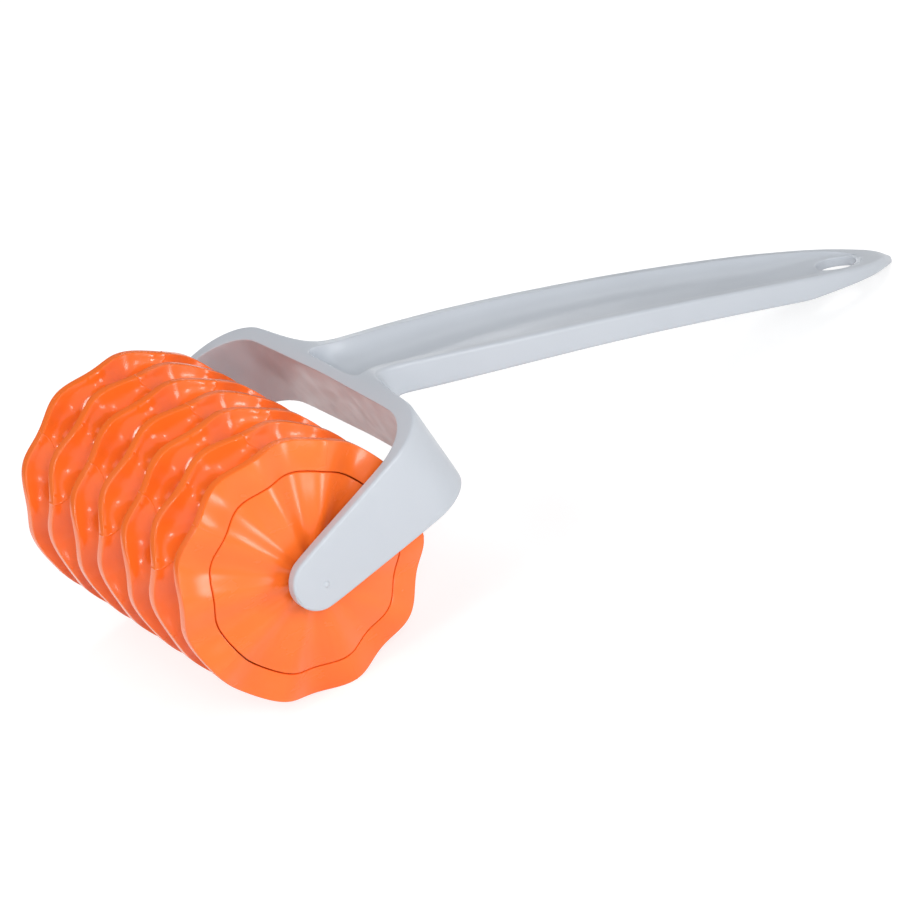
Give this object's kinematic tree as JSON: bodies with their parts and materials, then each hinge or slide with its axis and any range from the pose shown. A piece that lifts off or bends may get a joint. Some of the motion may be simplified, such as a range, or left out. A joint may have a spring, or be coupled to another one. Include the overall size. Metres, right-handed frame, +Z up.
{
  "type": "breadstick dough roller",
  "caption": "Hand-held dough roller: a hollow drum with wavy blades spins in a U-shaped fork with a trough-shaped handle and cuts rolled dough into wavy breadstick strips.",
  "frame": {"origin": "on the table, under the middle of the roller's length and width", "axes": "+X along the handle from the drum to the tip, +Y along the drum's axis, +Z up from the table"},
  "size_m": [0.2234, 0.1124, 0.062],
  "materials": {
    "grey_plastic": "satin",
    "orange_plastic": "gloss"
  },
  "bodies": {
    "handle": {"fork_handle": "grey_plastic"},
    "roller": {"roller_drum": "orange_plastic", "end_cap_near": "orange_plastic", "end_cap_far": "orange_plastic"}
  },
  "joints": [
    {"name": "roller_spin", "type": "hinge", "parent": "handle", "child": "roller", "pos_m": [-0.08075, 0, 0.031], "axis": [0, 1, 0], "continuous": true}
  ]
}
